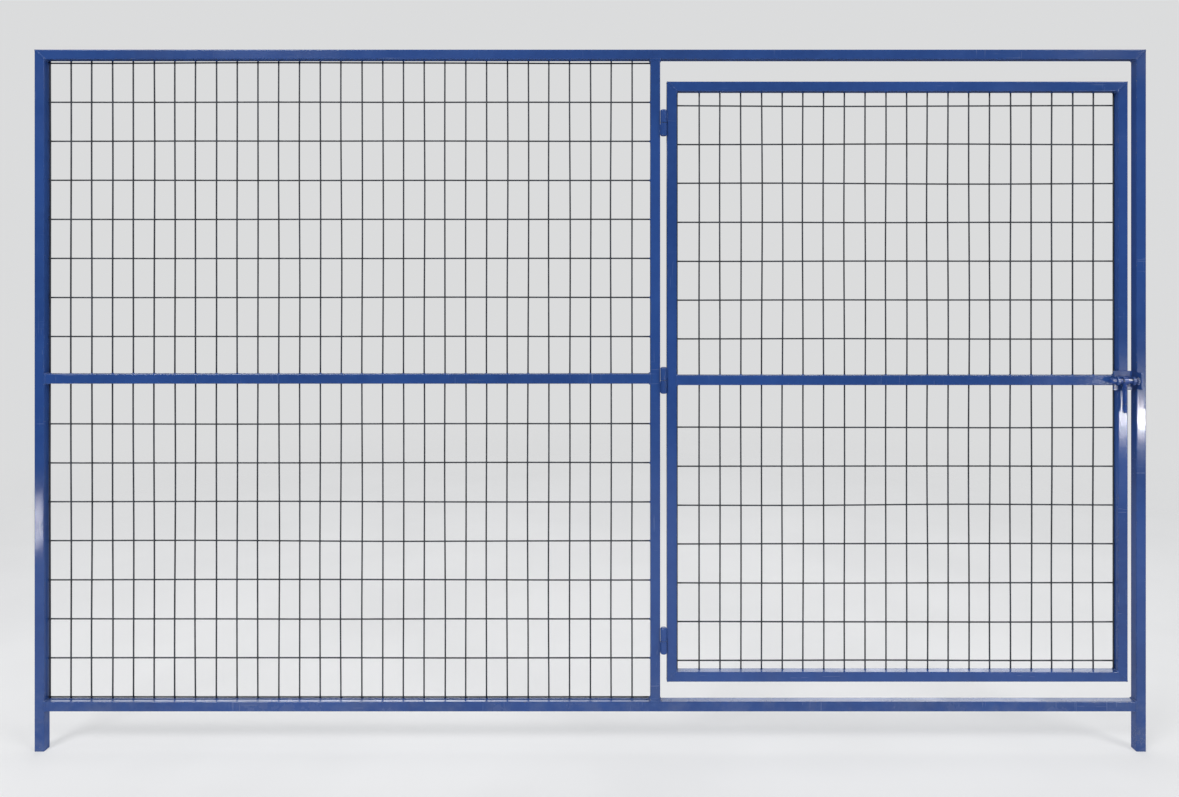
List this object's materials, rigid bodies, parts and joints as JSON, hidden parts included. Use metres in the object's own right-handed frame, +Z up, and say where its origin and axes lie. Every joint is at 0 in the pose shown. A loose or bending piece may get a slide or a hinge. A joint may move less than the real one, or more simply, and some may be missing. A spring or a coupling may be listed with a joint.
{
  "type": "crowd control barrier",
  "caption": "Tall temporary fence panel of square steel tube and welded wire mesh, with a hinged pedestrian gate and a slide bolt, held up by stands in its legs.",
  "frame": {"origin": "centre of the left leg's open lower end, where the stand's stub goes in; z = 0 is the legs' lower ends", "axes": "+X along the panel from the left leg to the right leg, +Y through the panel's thickness to the back, +Z up; the front is -Y"},
  "size_m": [2.896, 0.0534, 1.829],
  "materials": {
    "frame_tube_paint": "glossy blue powder coat",
    "gate_tube_paint": "glossy blue powder coat",
    "mesh_wire": "thin dark grey coat on welded wire",
    "hinge_knuckle": "glossy blue powder coat over weld-on steel",
    "latch_paint": "glossy blue powder coat",
    "hinge_pin": "bright turned steel",
    "hinge_washer": "plain steel, dulled by grease",
    "bolt_paint": "glossy blue coat, worn to bare steel where the bolt slides"
  },
  "bodies": {
    "frame": {"left_post": "frame_tube_paint", "right_post": "frame_tube_paint", "divider_post": "frame_tube_paint", "top_rail": "frame_tube_paint", "bottom_rail": "frame_tube_paint", "bay_rail": "frame_tube_paint", "bay_upper_upright_wires": "mesh_wire", "bay_upper_cross_wires": "mesh_wire", "bay_lower_upright_wires": "mesh_wire", "bay_lower_cross_wires": "mesh_wire", "keeper_plate": "latch_paint", "top_hinge_post_knuckle": "hinge_knuckle", "top_hinge_pin": "hinge_pin", "top_hinge_washer": "hinge_washer", "middle_hinge_post_knuckle": "hinge_knuckle", "middle_hinge_pin": "hinge_pin", "middle_hinge_washer": "hinge_washer", "bottom_hinge_post_knuckle": "hinge_knuckle", "bottom_hinge_pin": "hinge_pin", "bottom_hinge_washer": "hinge_washer"},
    "gate": {"gate_hinge_stile": "gate_tube_paint", "gate_latch_stile": "gate_tube_paint", "gate_top_rail": "gate_tube_paint", "gate_bottom_rail": "gate_tube_paint", "gate_mid_rail": "gate_tube_paint", "gate_upper_upright_wires": "mesh_wire", "gate_upper_cross_wires": "mesh_wire", "gate_lower_upright_wires": "mesh_wire", "gate_lower_cross_wires": "mesh_wire", "latch_plate": "latch_paint", "inner_bolt_guide": "latch_paint", "outer_bolt_guide": "latch_paint", "top_hinge_gate_knuckle": "hinge_knuckle", "middle_hinge_gate_knuckle": "hinge_knuckle", "bottom_hinge_gate_knuckle": "hinge_knuckle"},
    "bolt": {"latch_bolt": "bolt_paint"},
    "handle": {"bolt_handle": "bolt_paint"}
  },
  "joints": [
    {"name": "gate_swing", "type": "hinge", "parent": "frame", "child": "gate", "pos_m": [1.6265, -0.0127, 0.967], "axis": [0, 0, 1], "range_deg": [-175, 38]},
    {"name": "bolt_slide", "type": "slide", "parent": "gate", "child": "bolt", "axis": [1, 0, 0], "range_m": [-0.01, 0.012]},
    {"name": "handle_turn", "type": "hinge", "parent": "bolt", "child": "handle", "pos_m": [2.8192, -0.0267, 0.967], "axis": [1, 0, 0], "range_deg": [-185, 5]}
  ]
}
